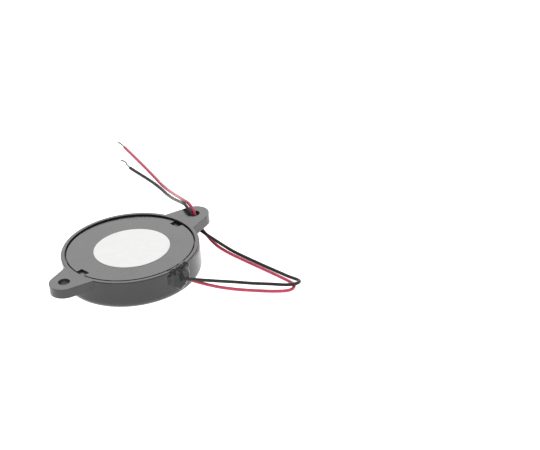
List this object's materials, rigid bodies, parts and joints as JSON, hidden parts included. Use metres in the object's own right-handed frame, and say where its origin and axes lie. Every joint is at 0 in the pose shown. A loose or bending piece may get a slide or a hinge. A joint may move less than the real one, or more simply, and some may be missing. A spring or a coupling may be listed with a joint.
{
  "type": "piezo buzzer",
  "caption": "Round black piezo buzzer in a lugged moulded case with a sound hole, a labelled back cover and red and black flying leads.",
  "frame": {"origin": "centre of the front face, at the mouth of the sound hole, on the surface that the buzzer lies on", "axes": "+Z from the sound hole towards the back cover and the label, +X along the line through the two screw lugs, leads leaving near -Y"},
  "size_m": [0.079, 0.1114, 0.0109],
  "materials": {
    "case_plastic": "satin",
    "cover_plastic": "satin",
    "label_paper": "matte",
    "diaphragm_brass": "satin",
    "piezo_ceramic": "matte",
    "silver_film": "satin",
    "silicone": "satin",
    "board_laminate": "matte",
    "copper": "satin",
    "chip_plastic": "matte",
    "resistor_ceramic": "matte",
    "ferrite": "matte",
    "capacitor_ceramic": "matte",
    "red_insulation": "satin",
    "blue_insulation": "satin",
    "black_insulation": "satin",
    "solder": "satin",
    "sealant": "gloss",
    "tinned_copper": "polished"
  },
  "bodies": {
    "root": {"case": "case_plastic", "back_cover": "cover_plastic", "label": "label_paper", "diaphragm": "diaphragm_brass", "piezo_disc": "piezo_ceramic", "drive_electrode": "silver_film", "feedback_electrode": "silver_film", "diaphragm_glue": "silicone", "circuit_board": "board_laminate", "copper_tracks": "copper", "transistor": "chip_plastic", "base_resistor": "resistor_ceramic", "feedback_resistor": "resistor_ceramic", "drive_resistor": "resistor_ceramic", "choke_core": "ferrite", "choke_winding": "copper", "polarity_diode": "chip_plastic", "supply_capacitor": "capacitor_ceramic", "drive_wire": "red_insulation", "feedback_wire": "blue_insulation", "ground_wire": "black_insulation", "disc_solder": "solder", "board_solder": "solder", "lead_solder": "solder", "exit_sealant": "sealant", "black_lead": "black_insulation", "red_lead": "red_insulation", "black_tinned_end": "tinned_copper", "red_tinned_end": "tinned_copper"}
  },
  "joints": []
}
